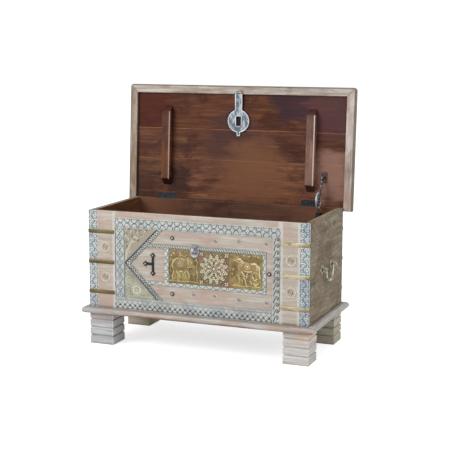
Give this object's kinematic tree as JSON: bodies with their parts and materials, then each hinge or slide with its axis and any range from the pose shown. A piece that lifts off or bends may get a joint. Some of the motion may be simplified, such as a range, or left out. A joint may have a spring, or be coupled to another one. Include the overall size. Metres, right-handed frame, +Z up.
{
  "type": "wooden trunk",
  "caption": "Low carved wooden chest on block feet with an overhanging hinged lid, hasp and staple, folding stay, side bail handles and embossed metal trim.",
  "frame": {"origin": "on the floor, under the middle of the outline with the lid thrown open", "axes": "+X to the right along the front, +Y to the back, +Z up; the carved front faces -Y"},
  "size_m": [0.896, 0.4722, 0.9222],
  "materials": {
    "limed_wood": "limed and worn, matt",
    "carved_wood": "carved, pale wash with dark grooves",
    "grey_wood": "weathered, scratched",
    "red_brown_wood": "stained, matt",
    "brass": "embossed, aged",
    "old_brass": "dull cast",
    "iron": "blackened",
    "pale_iron": "pale worn plate"
  },
  "bodies": {
    "case": {"back_wall": "red_brown_wood", "bail_eyes": "old_brass", "base_moulding_back": "limed_wood", "base_moulding_front": "limed_wood", "base_moulding_left": "limed_wood", "base_moulding_right": "limed_wood", "border_bottom": "carved_wood", "border_left": "carved_wood", "border_right": "carved_wood", "border_top": "carved_wood", "bottom_board": "red_brown_wood", "brass_plate_left": "brass", "brass_plate_middle": "brass", "brass_plate_right": "brass", "chevron_lower": "carved_wood", "chevron_upper": "carved_wood", "corner_bands": "brass", "foot_back_left": "limed_wood", "foot_back_right": "limed_wood", "foot_front_left": "limed_wood", "foot_front_right": "limed_wood", "front_backing": "red_brown_wood", "front_bolts": "iron", "front_field_board": "limed_wood", "front_left_stile": "limed_wood", "front_right_stile": "limed_wood", "front_top_rail": "limed_wood", "hinge_case_leaves": "iron", "hinge_case_screws": "iron", "hinge_pins": "iron", "inner_frame_posts": "carved_wood", "inner_frame_rails": "carved_wood", "iron_tee": "iron", "left_corner_strip": "carved_wood", "left_wall": "grey_wood", "right_corner_strip": "carved_wood", "right_wall": "grey_wood", "staple": "iron", "stay_lower_bracket": "iron", "triangle_plate_lower": "brass", "triangle_plate_upper": "brass"},
    "lid": {"lid_frame_front": "limed_wood", "lid_frame_left": "limed_wood", "lid_frame_right": "limed_wood", "lid_frame_back": "red_brown_wood", "lid_board_1": "red_brown_wood", "lid_board_2": "red_brown_wood", "lid_board_3": "red_brown_wood", "lid_board_4": "red_brown_wood", "batten_left": "red_brown_wood", "batten_right": "red_brown_wood", "hasp_eye": "pale_iron", "hinge_lid_leaves": "iron", "hinge_lid_screws": "iron", "stay_upper_bracket": "iron"},
    "hasp": {"hasp": "pale_iron"},
    "bail_left": {"bail_left": "old_brass"},
    "bail_right": {"bail_right": "old_brass"},
    "stay_lower_arm": {"stay_lower_arm": "iron"},
    "stay_upper_arm": {"stay_upper_arm": "iron"}
  },
  "joints": [
    {"name": "lid_hinge", "type": "hinge", "parent": "case", "child": "lid", "pos_m": [0, 0.18891, 0.49025], "axis": [1, 0, 0], "range_deg": [0, 93.6]},
    {"name": "hasp_swing", "type": "hinge", "parent": "lid", "child": "hasp", "pos_m": [0, 0.20149, 0.89726], "axis": [1, 0, 0], "range_deg": [-109, 0]},
    {"name": "stay_lower_pivot", "type": "hinge", "parent": "case", "child": "stay_lower_arm", "pos_m": [0.334, 0.15491, 0.45025], "axis": [1, 0, 0], "range_deg": [0, 136]},
    {"name": "stay_upper_pivot", "type": "hinge", "parent": "lid", "child": "stay_upper_arm", "pos_m": [0.334, 0.18358, 0.59679], "axis": [1, 0, 0], "range_deg": [-47, 0]},
    {"name": "right_bail_pivot", "type": "hinge", "parent": "case", "child": "bail_right", "pos_m": [0.427, -0.01309, 0.308], "axis": [0, -1, 0], "range_deg": [0, 120]},
    {"name": "left_bail_pivot", "type": "hinge", "parent": "case", "child": "bail_left", "pos_m": [-0.427, -0.01309, 0.308], "axis": [0, 1, 0], "range_deg": [0, 120]}
  ],
  "couplings": [
    {"joint": "hasp_swing", "follows": "lid_hinge", "ratio": -1.1629},
    {"joint": "stay_lower_pivot", "follows": "lid_hinge", "ratio": 1.4436},
    {"joint": "stay_upper_pivot", "follows": "lid_hinge", "ratio": -0.4978}
  ]
}
